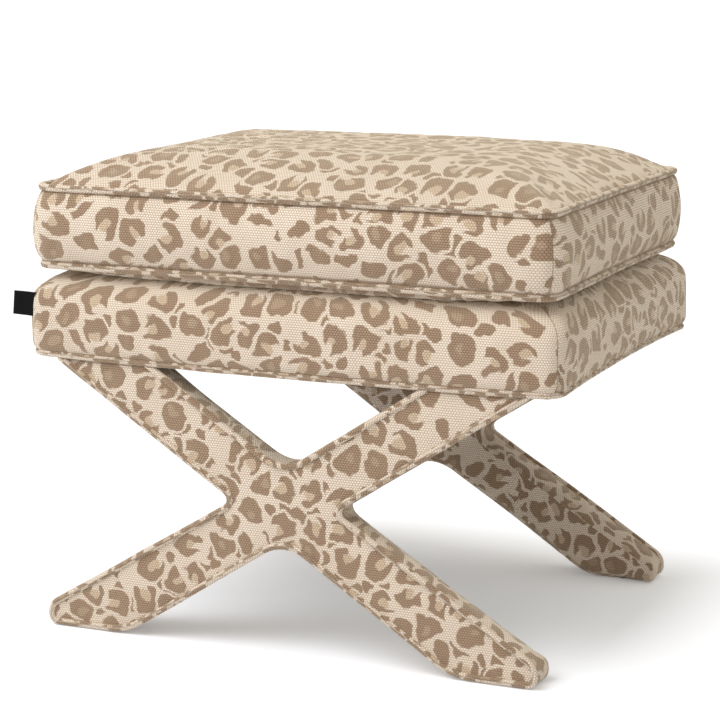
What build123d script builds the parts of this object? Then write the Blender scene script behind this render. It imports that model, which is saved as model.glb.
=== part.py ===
from build123d import *

import os
from math import atan, cos, degrees, radians, sin

# Upholstered ottoman: a loose box cushion on a padded seat base, carried by two padded X frames.
# X runs across the width, Y from front to back and Z up, with the origin on the floor at the centre.

os.makedirs("parts", exist_ok=True)

# Driving dimensions in millimetres

# Cover fabric and piping
fabric = 1.2
cushion_welt_radius = 3.5
base_welt_radius = 3.2
leg_welt_radius = 3.0
welt_sides = 6
welt_clearance = 0.3

# Seat base
base_width = 600
base_depth = 455
underside_height = 298
base_height = 95
base_corner_radius = 18
base_bottom_draw_in = 9
base_belly_height = 40
base_shoulder_run = 45
base_shoulder_drop = 30
belly_steps = 2
shoulder_steps = 4
base_side_padding = 2
base_hem = 30
dust_cover_thickness = 0.8
dust_cover_margin = 4
corner_softening = 0.6

# Wooden seat frame
rail_height = 50
rail_thickness = 30
rail_dowel_radius = 5
rail_dowel_length = 50
rail_dowel_spacing = 24
corner_block_leg = 70
corner_block_height = 38
webbing_width = 50
webbing_thickness = 1.5
long_webbing_count = 4
long_webbing_spacing = 84
cross_webbing_count = 5
cross_webbing_spacing = 96

# X frames
leg_board_width = 50
leg_board_thickness = 30
leg_padding = 3
foot_inset = 50
arm_inset = 91
toe_length = 30
crotch_radius = 42
notch_radius = 11
foot_corner_radius = 6
glide_radius = 11
glide_height = 3.5
glide_edge = 0.8
nail_radius = 1.5
nail_length = 22

# Hanger bolts that hold the X frames to the rails, drawn with flat sides like the dowels and nails
round_sides = 12
bolt_radius = 4
bolt_hole_clearance = 0.5
bolt_embed = 24
bolt_edge_distance = 26
bolt_end_length = 1.5
washer_radius = 8
washer_thickness = 1.6
nut_across_flats = 13
nut_height = 6.5
counterbore_clearance = 0.8
counterbore_depth = 14

# Loose cushion
cushion_width = 574
cushion_depth = 436
cushion_boxing_height = 80
cushion_belly = 6
cushion_draw_in = 2
cushion_corner_radius = 16
cushion_crown = 41
cushion_crown_run = 165
crown_knee_run = 0.25
crown_knee_rise = 0.68
cushion_sag = 8
cushion_sag_run = 45
cushion_clearance = 0.3
boxing_steps = 4

# Zip in the back of the cushion
zip_end_margin = 60
zip_tape_width = 12
zip_tape_thickness = 0.9
zip_chain_width = 4
zip_chain_height = 1.5
slider_length = 10
slider_width = 8
slider_wall = 1.2
slider_bridge_width = 2.4
slider_bridge_height = 2.2
slider_clearance = 0.3

# Heights and places worked out from the driving dimensions
hem_bottom = underside_height + dust_cover_thickness
rail_bottom = hem_bottom + fabric
side_rail_top = rail_bottom + rail_height
front_rail_top = side_rail_top + webbing_thickness
webbing_top = front_rail_top + webbing_thickness
deck_height = underside_height + base_height
hem_top = underside_height + 2 * (base_welt_radius + welt_clearance)

frame_inset = base_bottom_draw_in + fabric + base_side_padding
frame_width = base_width - 2 * frame_inset
frame_depth = base_depth - 2 * frame_inset
front_rail_y = (frame_depth - rail_thickness) / 2
side_rail_x = (frame_width - rail_thickness) / 2
side_rail_length = frame_depth - 2 * rail_thickness
frame_corner = base_corner_radius + corner_softening * base_bottom_draw_in - fabric - base_side_padding
dowel_height = (rail_bottom + side_rail_top) / 2

leg_skin = leg_padding + fabric
leg_half_depth = leg_board_thickness / 2 + leg_skin
leg_plane_y = base_depth / 2 - leg_half_depth - leg_welt_radius
foot_spread = base_width / 2 - foot_inset
arm_spread = base_width / 2 - arm_inset
leg_slope = underside_height / (foot_spread + arm_spread)
leg_angle = degrees(atan(leg_slope))
crossing_height = foot_spread * leg_slope
board_length = 2 * (foot_spread + arm_spread)
board_rise = leg_board_width / 2 / cos(radians(leg_angle))
foot_reach = foot_spread + toe_length
sole_height = glide_height
heel_reach = (crossing_height - board_rise - sole_height) / leg_slope
glide_x = (heel_reach + foot_reach) / 2
arm_inner_reach = (underside_height - crossing_height - board_rise) / leg_slope

bolt_y = (front_rail_y + leg_plane_y) / 2
bolt_seat = front_rail_top - counterbore_depth
nut_seat = bolt_seat + washer_thickness
bolt_top = nut_seat + nut_height + bolt_end_length
bolt_hole_radius = bolt_radius + bolt_hole_clearance
bolt_x = arm_inner_reach + bolt_edge_distance
bolt_places = [(side * bolt_x, end * bolt_y) for end in (-1, 1) for side in (-1, 1)]

bottom_seam = deck_height + cushion_clearance + cushion_sag
top_seam = bottom_seam + cushion_boxing_height
zip_height = (bottom_seam + top_seam) / 2
zip_length = cushion_width - 2 * zip_end_margin


def save(builder, name):
    """Label a finished piece and write it under its own name."""
    builder.part.label = name
    export_step(builder.part, f"parts/{name}.step")


def discs(places, radius, height):
    """Equal rounds on one level, ready to be drilled or drawn up into pins."""
    with BuildSketch(Plane.XY.offset(height)) as rounds:
        with Locations(*places):
            RegularPolygon(radius, round_sides)
    return rounds.sketch


def piping(path, radius):
    """The section of a run of piping, square to the start of its path."""
    with BuildSketch(Plane(path @ 0, z_dir=path % 0)) as section:
        RegularPolygon(radius, welt_sides)
    return section.sketch


# Seat frame: two long rails, with two side rails dowelled between them

for name, end in (("front_rail", -1), ("back_rail", 1)):
    with BuildPart() as long_rail:
        with BuildSketch(Plane.XY.offset(rail_bottom)):
            with Locations((0, end * front_rail_y)):
                Rectangle(frame_width, rail_thickness)
        extrude(amount=front_rail_top - rail_bottom)
        outer_face = long_rail.faces().sort_by(Axis.Y)[0 if end < 0 else -1]
        fillet(outer_face.edges().filter_by(Axis.Z), frame_corner)
        rail_bolts = [place for place in bolt_places if place[1] * end > 0]
        bolt_holes = discs(rail_bolts, bolt_hole_radius, rail_bottom)
        extrude(bolt_holes, amount=bolt_seat - rail_bottom, mode=Mode.SUBTRACT)
        counterbores = discs(rail_bolts, washer_radius + counterbore_clearance, bolt_seat)
        extrude(counterbores, amount=counterbore_depth, mode=Mode.SUBTRACT)
        with BuildSketch(Plane.XZ.offset(-end * side_rail_length / 2)):
            with Locations((0, dowel_height)):
                with GridLocations(2 * side_rail_x, rail_dowel_spacing, 2, 2):
                    RegularPolygon(rail_dowel_radius, round_sides)
        extrude(amount=-end * rail_dowel_length / 2, mode=Mode.SUBTRACT)
    save(long_rail, name)

for name, side in (("left_rail", -1), ("right_rail", 1)):
    with BuildPart() as side_rail:
        with BuildSketch(Plane.XY.offset(rail_bottom)):
            with Locations((side * side_rail_x, 0)):
                Rectangle(rail_thickness, side_rail_length)
        extrude(amount=rail_height)
        for end in (-1, 1):
            with BuildSketch(Plane.XZ.offset(-end * side_rail_length / 2)):
                with Locations((side * side_rail_x, dowel_height)):
                    with GridLocations(rail_thickness, rail_dowel_spacing, 1, 2):
                        RegularPolygon(rail_dowel_radius, round_sides)
            extrude(amount=end * rail_dowel_length / 2, mode=Mode.SUBTRACT)
    save(side_rail, name)

with BuildPart() as rail_dowels:
    for end in (-1, 1):
        with BuildSketch(Plane.XZ.offset(-end * side_rail_length / 2)):
            with Locations((0, dowel_height)):
                with GridLocations(2 * side_rail_x, rail_dowel_spacing, 2, 2):
                    RegularPolygon(rail_dowel_radius, round_sides)
        extrude(amount=rail_dowel_length / 2, both=True)
save(rail_dowels, "rail_dowels")

# Corner blocks: three-sided blocks glued into the inside corners of the frame

inside_x = frame_width / 2 - rail_thickness
inside_y = frame_depth / 2 - rail_thickness

with BuildPart() as corner_blocks:
    with BuildSketch(Plane.XY.offset(rail_bottom)):
        for side in (-1, 1):
            for end in (-1, 1):
                with BuildLine():
                    Polyline(
                        (side * inside_x, end * inside_y),
                        (side * (inside_x - corner_block_leg), end * inside_y),
                        (side * inside_x, end * (inside_y - corner_block_leg)),
                        close=True,
                    )
                make_face()
    extrude(amount=corner_block_height)
save(corner_blocks, "corner_blocks")

# Webbing: straps from side rail to side rail, with straps from long rail to long rail laid over them

with BuildPart() as long_webbing:
    with BuildSketch(Plane.XY.offset(side_rail_top)):
        with GridLocations(frame_width, long_webbing_spacing, 1, long_webbing_count):
            Rectangle(frame_width, webbing_width)
    extrude(amount=webbing_thickness)
save(long_webbing, "long_webbing")

with BuildPart() as cross_webbing:
    with BuildSketch(Plane.XY.offset(front_rail_top)):
        with GridLocations(cross_webbing_spacing, frame_depth, cross_webbing_count, 1):
            Rectangle(webbing_width, frame_depth)
    extrude(amount=webbing_thickness)
save(cross_webbing, "cross_webbing")

# Seat base: foam over the frame under one cover, straight at the hem, bellied at the sides and
# rounded at the shoulder, with the cover turned under the rails


def base_section(inset, height, skin):
    """One level outline of the seat base, drawn in by inset and by a skin of fabric."""
    shrink = 2 * (inset + skin)
    corner = base_corner_radius + corner_softening * inset - skin
    with BuildSketch(Plane.XY.offset(height)) as section:
        RectangleRounded(base_width - shrink, base_depth - shrink, corner)
    return section.sketch


def base_body(bottom, skin):
    """The padded form of the seat base from bottom up to the deck, inside a skin of fabric."""
    belly = underside_height + base_belly_height
    shoulder = deck_height - base_shoulder_drop
    sections = [base_section(base_bottom_draw_in, bottom, skin)]
    for step in range(belly_steps + 1):
        turn = radians(90 * step / belly_steps)
        inset = base_bottom_draw_in * (1 - sin(turn))
        sections.append(base_section(inset, hem_top + (belly - hem_top) * (1 - cos(turn)), skin))
    for step in range(shoulder_steps + 1):
        turn = radians(90 * step / shoulder_steps)
        inset = base_shoulder_run * (1 - cos(turn))
        sections.append(base_section(inset, shoulder + (base_shoulder_drop - skin) * sin(turn), skin))
    with BuildPart() as body:
        loft(sections, ruled=True)
    return body.part


base_filling = base_body(rail_bottom, fabric)

with BuildPart() as base_padding:
    add(base_filling)
    with BuildSketch(Plane.XY.offset(rail_bottom)):
        RectangleRounded(frame_width, frame_depth, frame_corner)
    extrude(amount=webbing_top - rail_bottom, mode=Mode.SUBTRACT)
save(base_padding, "base_padding")

with BuildPart() as base_cover:
    add(base_body(hem_bottom, 0))
    add(base_filling, mode=Mode.SUBTRACT)
    with BuildSketch(Plane.XY.offset(hem_bottom)):
        Rectangle(frame_width - 2 * base_hem, frame_depth - 2 * base_hem)
    extrude(amount=fabric, mode=Mode.SUBTRACT)
    extrude(discs(bolt_places, bolt_hole_radius, hem_bottom), amount=fabric, mode=Mode.SUBTRACT)
save(base_cover, "base_cover")

base_welt_inset = base_bottom_draw_in - base_welt_radius - welt_clearance
base_welt_corner = base_corner_radius + base_bottom_draw_in * (1 + corner_softening) - base_welt_inset

with BuildPart() as base_welt:
    with BuildSketch(Plane.XY.offset((underside_height + hem_top) / 2), mode=Mode.PRIVATE) as base_run:
        RectangleRounded(
            base_width - 2 * base_welt_inset,
            base_depth - 2 * base_welt_inset,
            base_welt_corner,
        )
    base_welt_path = base_run.sketch.face().outer_wire()
    sweep(piping(base_welt_path, base_welt_radius), path=base_welt_path)
save(base_welt, "base_welt")

with BuildPart() as dust_cover:
    with BuildSketch(Plane.XY.offset(underside_height)):
        Rectangle(frame_width - 2 * dust_cover_margin, frame_depth - 2 * dust_cover_margin)
    extrude(amount=dust_cover_thickness)
    holes = discs(bolt_places, bolt_hole_radius, underside_height)
    extrude(holes, amount=dust_cover_thickness, mode=Mode.SUBTRACT)
save(dust_cover, "dust_cover")

# X frames: two boards halved across each other, wrapped in thin foam and covered by two face panels
# and an edge band, with piping round the outer face

toe_cut = 2 * foot_reach


def board_outline(skin, turns, plane, top):
    """Boards of the cross grown by skin, cut level at the floor and the top, and upright at the toes."""
    bottom = sole_height + leg_skin - skin
    with BuildSketch(plane) as outline:
        with Locations((0, crossing_height)):
            for turn in turns:
                Rectangle(board_length, leg_board_width + 2 * skin, rotation=turn * leg_angle)
        with Locations((0, (bottom + top) / 2)):
            Rectangle(board_length, top - bottom, mode=Mode.INTERSECT)
        for side in (-1, 1):
            with Locations((side * (foot_reach - leg_skin + skin + toe_cut / 2), 0)):
                Rectangle(toe_cut, crossing_height, mode=Mode.SUBTRACT)
    return outline.sketch


def soft_outline(skin, plane, top=underside_height):
    """The padded cross grown by skin, with rounded crotches, notches and feet."""
    within = leg_skin - skin
    with BuildSketch(plane) as outline:
        add(board_outline(skin, (-1, 1), Plane.XY, top))
        near = leg_padding / 2
        level = (crossing_height - near, crossing_height + near)
        fillet(outline.vertices().filter_by_position(Axis.X, -near, near), crotch_radius + within)
        fillet(outline.vertices().filter_by_position(Axis.Y, *level), notch_radius + within)
        feet = outline.vertices().filter_by_position(Axis.Y, 0, crossing_height / 2)
        fillet(feet, foot_corner_radius - within)
    return outline.sketch


for frame, end in (("front", -1), ("back", 1)):
    middle = Plane.XZ.offset(-end * leg_plane_y)
    frame_bolts = [place for place in bolt_places if place[1] * end > 0]
    frame_nails = [(side * glide_x, end * leg_plane_y) for side in (-1, 1)]
    nail_holes = discs(frame_nails, nail_radius, sole_height)

    for name, turn in (("rising", 1), ("falling", -1)):
        with BuildPart() as leg_board:
            extrude(board_outline(0, (turn,), middle, underside_height), leg_board_thickness / 2, both=True)
            across = board_outline(0, (-turn,), middle, underside_height)
            extrude(across, amount=turn * leg_board_thickness / 2, mode=Mode.SUBTRACT)
            bolt_holes = discs(frame_bolts, bolt_radius, underside_height)
            extrude(bolt_holes, amount=-bolt_embed, mode=Mode.SUBTRACT)
            extrude(nail_holes, amount=nail_length, mode=Mode.SUBTRACT)
        save(leg_board, f"{frame}_{name}_leg")

    inner_face = middle.offset(end * leg_half_depth)
    under_panel = inner_face.offset(-end * fabric)
    with BuildPart() as leg_wrap:
        wrap_depth = 2 * leg_half_depth - fabric - leg_welt_radius
        extrude(soft_outline(leg_padding, under_panel), amount=-end * wrap_depth)
        filled_depth = 2 * (leg_half_depth - fabric)
        extrude(soft_outline(leg_skin - leg_welt_radius, under_panel), amount=-end * filled_depth)
        boards = board_outline(0, (-1, 1), middle, underside_height)
        extrude(boards, leg_board_thickness / 2, both=True, mode=Mode.SUBTRACT)
        extrude(nail_holes, amount=nail_length, mode=Mode.SUBTRACT)
    save(leg_wrap, f"{frame}_leg_padding")

    with BuildPart() as edge_band:
        band_depth = 2 * leg_half_depth - leg_welt_radius
        extrude(soft_outline(leg_skin, inner_face), amount=-end * band_depth)
        extrude(soft_outline(leg_padding, inner_face), amount=-end * band_depth, mode=Mode.SUBTRACT)
        extrude(nail_holes, amount=nail_length, mode=Mode.SUBTRACT)
    save(edge_band, f"{frame}_leg_edge_band")

    with BuildPart() as inner_panel:
        extrude(soft_outline(leg_padding, inner_face), amount=-end * fabric)
    save(inner_panel, f"{frame}_leg_inner_panel")

    outer_face = middle.offset(-end * leg_half_depth)
    with BuildPart() as outer_panel:
        extrude(soft_outline(leg_skin - leg_welt_radius, outer_face), amount=end * fabric)
    save(outer_panel, f"{frame}_leg_outer_panel")

    over_top = underside_height + 2 * leg_welt_radius
    with BuildPart() as outer_welt:
        border = soft_outline(leg_skin, outer_face, over_top).edges()
        runs = border.filter_by(lambda edge: edge.center().Z < over_top - leg_welt_radius)
        for run in Wire.combine(runs):
            sweep(piping(run, leg_welt_radius), path=run)
        split(bisect_by=Plane.XY.offset(underside_height), keep=Keep.BOTTOM)
    save(outer_welt, f"{frame}_leg_outer_welt")

# Foot glides: round glides nailed up into the feet

all_nails = [(side * glide_x, end * leg_plane_y) for side in (-1, 1) for end in (-1, 1)]

with BuildPart() as foot_glides:
    extrude(discs(all_nails, glide_radius, 0), amount=glide_height)
    chamfer(foot_glides.edges().group_by(Axis.Z)[0], glide_edge)
    extrude(discs(all_nails, nail_radius, glide_height), amount=nail_length)
save(foot_glides, "foot_glides")

# Hanger bolts: screwed into the arms of the X frames, through the rails, with washers and nuts above

with BuildPart() as leg_bolts:
    extrude(discs(bolt_places, bolt_radius, underside_height - bolt_embed), amount=bolt_embed)
    extrude(discs(bolt_places, bolt_radius, underside_height), amount=bolt_top - underside_height)
save(leg_bolts, "leg_bolts")

with BuildPart() as leg_washers:
    extrude(discs(bolt_places, washer_radius, bolt_seat), amount=washer_thickness)
    extrude(discs(bolt_places, bolt_hole_radius, bolt_seat), amount=washer_thickness, mode=Mode.SUBTRACT)
save(leg_washers, "leg_washers")

with BuildPart() as leg_nuts:
    with BuildSketch(Plane.XY.offset(nut_seat)):
        with Locations(*bolt_places):
            RegularPolygon(nut_across_flats / 2, 6, major_radius=False)
            RegularPolygon(bolt_radius, round_sides, mode=Mode.SUBTRACT)
    extrude(amount=nut_height)
save(leg_nuts, "leg_nuts")

# Cushion: a foam block with soft filling above and below, in a boxed cover with a crowned top


def cushion_section(inset, height, skin):
    """One level outline of the cushion, its sides drawn in between the corners."""
    x = cushion_width / 2 - inset - skin
    y = cushion_depth / 2 - inset - skin
    corner = cushion_corner_radius - skin + max(corner_softening * inset, -inset)
    with BuildSketch(Plane.XY.offset(height)) as section:
        with BuildLine():
            ThreePointArc((-x, -y), (0, cushion_draw_in - y), (x, -y))
            ThreePointArc((x, -y), (x - cushion_draw_in, 0), (x, y))
            ThreePointArc((x, y), (0, y - cushion_draw_in), (-x, y))
            ThreePointArc((-x, y), (cushion_draw_in - x, 0), (-x, -y))
        make_face()
        fillet(section.vertices(), min(corner, corner_softening * min(x, y)))
    return section.sketch


def boxing_body(skin):
    """The bellied middle of the cushion from seam to seam, inside a skin of fabric."""
    sections = []
    for step in range(boxing_steps + 1):
        share = step / boxing_steps
        swell = cushion_belly * (1 - (2 * share - 1) ** 2)
        sections.append(cushion_section(-swell, bottom_seam + share * cushion_boxing_height, skin))
    with BuildPart() as body:
        loft(sections, ruled=True)
    return body.part


def crown_profile(plane, half, seam, rise, run):
    """One side view of the domed form, steep at the seam and level in the middle."""
    shoulder = half - crown_knee_run * run
    shoulder_height = seam + crown_knee_rise * rise
    crest = seam + rise
    with BuildSketch(plane) as profile:
        with BuildLine():
            for side in (-1, 1):
                level_end = (side * (half - run), crest)
                upper = TangentArc(level_end, (side * shoulder, shoulder_height), tangent=(side, 0))
                TangentArc(upper @ 1, (side * half, seam), tangent=upper % 1)
            Line((run - half, crest), (half - run, crest))
            Line((half, seam), (-half, seam))
        make_face()
    return profile.sketch


def crown_body(seam, rise, run, skin):
    """The domed form above or below a seam: its plan, cut to its front view and its side view."""
    front_view = crown_profile(Plane.XZ, cushion_width / 2 - skin, seam, rise, run)
    side_view = crown_profile(Plane.YZ, cushion_depth / 2 - skin, seam, rise, run)
    with BuildPart() as body:
        extrude(cushion_section(0, seam, skin), amount=rise)
        extrude(front_view, cushion_depth, both=True, mode=Mode.INTERSECT)
        extrude(side_view, cushion_width, both=True, mode=Mode.INTERSECT)
    return body.part


top_filling = crown_body(top_seam, cushion_crown - fabric, cushion_crown_run, fabric)
bottom_filling = crown_body(bottom_seam, fabric - cushion_sag, cushion_sag_run, fabric)
foam_block = boxing_body(fabric)

with BuildPart() as cushion_foam:
    add(foam_block)
save(cushion_foam, "cushion_foam")

with BuildPart() as cushion_top_filling:
    add(top_filling)
save(cushion_top_filling, "cushion_top_filling")

with BuildPart() as cushion_bottom_filling:
    add(bottom_filling)
save(cushion_bottom_filling, "cushion_bottom_filling")

with BuildPart() as cushion_top_panel:
    add(crown_body(top_seam, cushion_crown, cushion_crown_run, 0))
    add(top_filling, mode=Mode.SUBTRACT)
save(cushion_top_panel, "cushion_top_panel")

with BuildPart() as cushion_bottom_panel:
    add(crown_body(bottom_seam, -cushion_sag, cushion_sag_run, 0))
    add(bottom_filling, mode=Mode.SUBTRACT)
save(cushion_bottom_panel, "cushion_bottom_panel")

# Boxing: four strips mitred at the corner seams, the back one in two halves beside the zip

with BuildPart() as boxing_shell:
    add(boxing_body(0))
    add(foam_block, mode=Mode.SUBTRACT)

outside = 2 * cushion_corner_radius
far_x = cushion_width / 2 + outside
far_y = cushion_depth / 2 + outside
near_x = cushion_width / 2 - outside
near_y = cushion_depth / 2 - outside
back_seams = ((far_x, far_y), (-far_x, far_y), (-near_x, near_y), (near_x, near_y))
strip_seams = {
    "cushion_front_boxing": ((-far_x, -far_y), (far_x, -far_y), (near_x, -near_y), (-near_x, -near_y)),
    "cushion_right_boxing": ((far_x, -far_y), (far_x, far_y), (near_x, near_y), (near_x, -near_y)),
    "cushion_left_boxing": ((-far_x, far_y), (-far_x, -far_y), (-near_x, -near_y), (-near_x, near_y)),
}


def strip_prism(corners, bottom, top):
    """An upright block that takes in one side of the boxing between its corner seams."""
    with BuildPart() as block:
        with BuildSketch(Plane.XY.offset(bottom)):
            with BuildLine():
                Polyline(*corners, close=True)
            make_face()
        extrude(amount=top - bottom)
    return block.part


def zip_band(height, reach):
    """A level band along the zip, from the middle of the cushion out past its back."""
    with BuildPart() as band:
        with BuildSketch(Plane.XZ):
            with Locations((0, zip_height)):
                Rectangle(zip_length, height)
        extrude(amount=-reach)
    return band.part


for name, corners in strip_seams.items():
    with BuildPart() as boxing:
        add(boxing_shell.part)
        add(strip_prism(corners, bottom_seam, top_seam), mode=Mode.INTERSECT)
    save(boxing, name)

halves = (("upper", zip_height, top_seam), ("lower", bottom_seam, zip_height))
for name, bottom, top in halves:
    with BuildPart() as back_boxing:
        add(boxing_shell.part)
        add(strip_prism(back_seams, bottom, top), mode=Mode.INTERSECT)
        add(zip_band(zip_tape_width, far_y), mode=Mode.SUBTRACT)
    save(back_boxing, f"cushion_back_{name}_boxing")

with BuildPart() as zip_tape:
    add(boxing_body(0))
    add(boxing_body(zip_tape_thickness), mode=Mode.SUBTRACT)
    add(zip_band(zip_tape_width, far_y), mode=Mode.INTERSECT)
save(zip_tape, "zip_tape")

with BuildPart() as zip_chain:
    add(boxing_body(-zip_chain_height))
    add(boxing_body(0), mode=Mode.SUBTRACT)
    add(zip_band(zip_chain_width, far_y), mode=Mode.INTERSECT)
save(zip_chain, "zip_chain")

# Zip slider: a channel over the chain with a low bridge, at the closed end of the zip

back_half_width = cushion_width / 2 + cushion_belly
zip_end_share = zip_length / 2 / back_half_width
tape_face = cushion_depth / 2 + cushion_belly - cushion_draw_in * (1 - zip_end_share**2)
chain_room = zip_chain_height + 2 * slider_clearance
slider_x = slider_length - zip_length / 2

with BuildPart() as zip_slider:
    with BuildSketch(Plane.YZ.offset(slider_x - slider_length / 2)):
        with Locations((tape_face + slider_clearance, zip_height)):
            Rectangle(chain_room + slider_wall, slider_width, align=(Align.MIN, Align.CENTER))
            chain_slot = zip_chain_width + 2 * slider_clearance
            Rectangle(
                chain_room, chain_slot, align=(Align.MIN, Align.CENTER), mode=Mode.SUBTRACT
            )
    extrude(amount=slider_length)
    with BuildSketch(Plane.XY.offset(zip_height - slider_bridge_width / 2)):
        with Locations((slider_x, tape_face + slider_clearance + chain_room + slider_wall)):
            Rectangle(slider_length - 2 * slider_wall, slider_bridge_height, align=(Align.CENTER, Align.MIN))
            bridge_gap = slider_bridge_height - slider_wall
            Rectangle(
                slider_length - 4 * slider_wall,
                bridge_gap,
                align=(Align.CENTER, Align.MIN),
                mode=Mode.SUBTRACT,
            )
    extrude(amount=slider_bridge_width)
save(zip_slider, "zip_slider")

# Cushion piping: one run in the top seam and one in the bottom seam, standing off the edge

welt_out = cushion_welt_radius + welt_clearance
welt_rise = 0.6 * cushion_welt_radius
for name, height in (
    ("cushion_top_welt", top_seam + welt_rise),
    ("cushion_bottom_welt", bottom_seam - welt_rise),
):
    with BuildPart() as cushion_welt:
        cushion_run = cushion_section(-welt_out, height, 0).face().outer_wire()
        sweep(piping(cushion_run, cushion_welt_radius), path=cushion_run)
    save(cushion_welt, name)
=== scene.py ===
from cmath import exp, phase
from functools import partialmethod
from math import cos, pi, radians, sin, tan

import bpy
import numpy as np
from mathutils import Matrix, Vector, noise
from mathutils.bvhtree import BVHTree
from mathutils.geometry import delaunay_2d_cdt


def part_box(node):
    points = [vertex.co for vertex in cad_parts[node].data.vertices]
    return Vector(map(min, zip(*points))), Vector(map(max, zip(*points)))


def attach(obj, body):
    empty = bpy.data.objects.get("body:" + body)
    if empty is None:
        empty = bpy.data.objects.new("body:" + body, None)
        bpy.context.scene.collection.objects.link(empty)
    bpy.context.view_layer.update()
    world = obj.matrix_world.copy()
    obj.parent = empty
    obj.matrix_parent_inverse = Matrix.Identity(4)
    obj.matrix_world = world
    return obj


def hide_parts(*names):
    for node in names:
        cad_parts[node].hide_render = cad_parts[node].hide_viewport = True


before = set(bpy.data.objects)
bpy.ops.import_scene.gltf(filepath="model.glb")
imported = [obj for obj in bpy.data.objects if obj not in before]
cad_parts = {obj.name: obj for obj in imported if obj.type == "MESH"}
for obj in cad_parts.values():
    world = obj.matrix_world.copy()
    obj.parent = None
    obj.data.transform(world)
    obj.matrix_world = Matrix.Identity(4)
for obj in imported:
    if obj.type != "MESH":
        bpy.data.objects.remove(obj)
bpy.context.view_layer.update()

# Seat frame
# Planed softwood rails, dowelled and glued at the corners and stiffened by glued corner blocks.
# The cover hides them, so the timber is left bare, with its grain along each rail.


class Tone:
    """One socket of a material, with the operators that its pattern is written in."""

    def __init__(self, tree, socket=None):
        self.tree, self.socket = tree, socket

    def node(self, kind, inputs, settings={}, output=0):
        """Add a node with its settings and the values or links of its sockets, and give one output."""
        made = self.tree.nodes.new("ShaderNode" + kind)
        for name, value in settings.items():
            setattr(made, name, value)
        for name, value in inputs.items():
            if isinstance(value, Tone):
                self.tree.links.new(value.socket, made.inputs[name])
            else:
                made.inputs[name].default_value = value
        return Tone(self.tree, made.outputs[output]) if made.outputs else None

    def beside(self, output):
        """Another output of the node that made this one."""
        return Tone(self.tree, self.socket.node.outputs[output])

    def math(self, operation, *others):
        """What one operation makes of this value, and of others that it takes after it."""
        return self.node("Math", dict(enumerate((self, *others))), {"operation": operation})

    def vector(self, operation, *others):
        """What one operation makes of this vector, and of others that it takes after it."""
        return self.node("VectorMath", dict(enumerate((self, *others))), {"operation": operation})

    def scaled(self, factor):
        return self.node("VectorMath", {0: self, "Scale": factor}, {"operation": "SCALE"})

    def clouds(self, scale, detail, settings={}):
        """Soft noise over these places."""
        return self.node("TexNoise", {"Vector": self, "Scale": scale, "Detail": detail}, settings)

    def between(self, low, high):
        """The colour that this share of the way from low to high gives."""
        return self.node("Mix", {0: self, 6: low, 7: high}, {"data_type": "RGBA"}, 2)

    def limited(self):
        return self.node("Clamp", {0: self})

    def __rsub__(self, other):
        return self.node("Math", {0: other, 1: self}, {"operation": "SUBTRACT"})

    __add__ = __radd__ = partialmethod(math, "ADD")
    __mul__ = __rmul__ = partialmethod(math, "MULTIPLY")
    __sub__, __truediv__ = partialmethod(math, "SUBTRACT"), partialmethod(math, "DIVIDE")
    __pow__, __abs__ = partialmethod(math, "POWER"), partialmethod(math, "ABSOLUTE")
    __gt__, __lt__ = partialmethod(math, "GREATER_THAN"), partialmethod(math, "LESS_THAN")


def new_material(name):
    material = bpy.data.materials.new(name)
    material.use_nodes = True
    material.node_tree.nodes.clear()
    return material, Tone(material.node_tree)


def surface(tone, inputs, bump=None):
    """Close a material with one principled surface, and a bump of (strength, depth, heights) on it."""
    if bump:
        inputs["Normal"] = tone.node("Bump", dict(zip(("Strength", "Distance", "Height"), bump)))
    tone.node("OutputMaterial", {"Surface": tone.node("BsdfPrincipled", inputs)})


def colour(red, green, blue):
    """A colour written as it looks on a screen, from 0 to 255, made linear."""
    shares = [value / 255 for value in (red, green, blue)]
    return (*[((s + 0.055) / 1.055) ** 2.4 if s > 0.04 else s / 12.92 for s in shares], 1.0)


def timber(name, turn):
    """Pale softwood whose grain runs along the X axis turned by turn."""
    material, tone = new_material(name)
    place = tone.node("TexCoord", {}, output="Object")
    along = tone.node("VectorRotate", {"Vector": place, "Rotation": turn}, {"rotation_type": "EULER_XYZ"})
    drawn = along.vector("MULTIPLY", (4.0, 60.0, 60.0))
    fibres = drawn.clouds(6.0, 6.0)
    rings = tone.node("TexWave", {"Vector": drawn, "Scale": 0.5, "Distortion": 6.0, "Detail": 2.0}, output=1)
    grain = (0.6 * rings + 0.4 * fibres).limited()
    surface(tone, {
        "Base Color": grain.between(colour(205, 168, 120), colour(228, 199, 156)),
        "Roughness": 0.55 + 0.2 * fibres,
    }, bump=(0.3, 0.0006, grain))
    return material


def dress(material, slot, *nodes):
    """Give CAD nodes that keep their shape a finish."""
    for name in nodes:
        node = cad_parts[name]
        node.data.materials.clear()
        node.data.materials.append(material)


dress(timber("rail_timber_across", (0, 0, 0)), "frame_wood", "front_rail", "back_rail")
dress(
    timber("rail_timber_deep", (0, 0, pi / 2)),
    "frame_wood", "left_rail", "right_rail", "rail_dowels", "corner_blocks",
)

# Webbing
# Woven elastic straps stapled over the rails, laid side by side and crossed by a second layer.


def strap_weave(name, turn):
    """A herringbone strap whose length runs along the X axis turned by turn."""
    material, tone = new_material(name)
    place = tone.node("TexCoord", {}, output="Object")
    along = tone.node("VectorRotate", {"Vector": place, "Angle": turn}, {"rotation_type": "Z_AXIS"})
    x = tone.node("SeparateXYZ", {0: along})
    y = x.beside(1)
    rib = 0.006
    zigzag = abs(y.math("PINGPONG", rib) / rib - 0.5)
    yarn = 0.5 + 0.5 * ((x / 0.0016 + 4.0 * zigzag) * 2 * pi).math("SINE")
    surface(tone, {
        "Base Color": yarn.between(colour(96, 80, 62), colour(172, 150, 118)),
        "Roughness": 0.9 - 0.15 * yarn,
    }, bump=(0.5, 0.0005, yarn))
    return material


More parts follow.
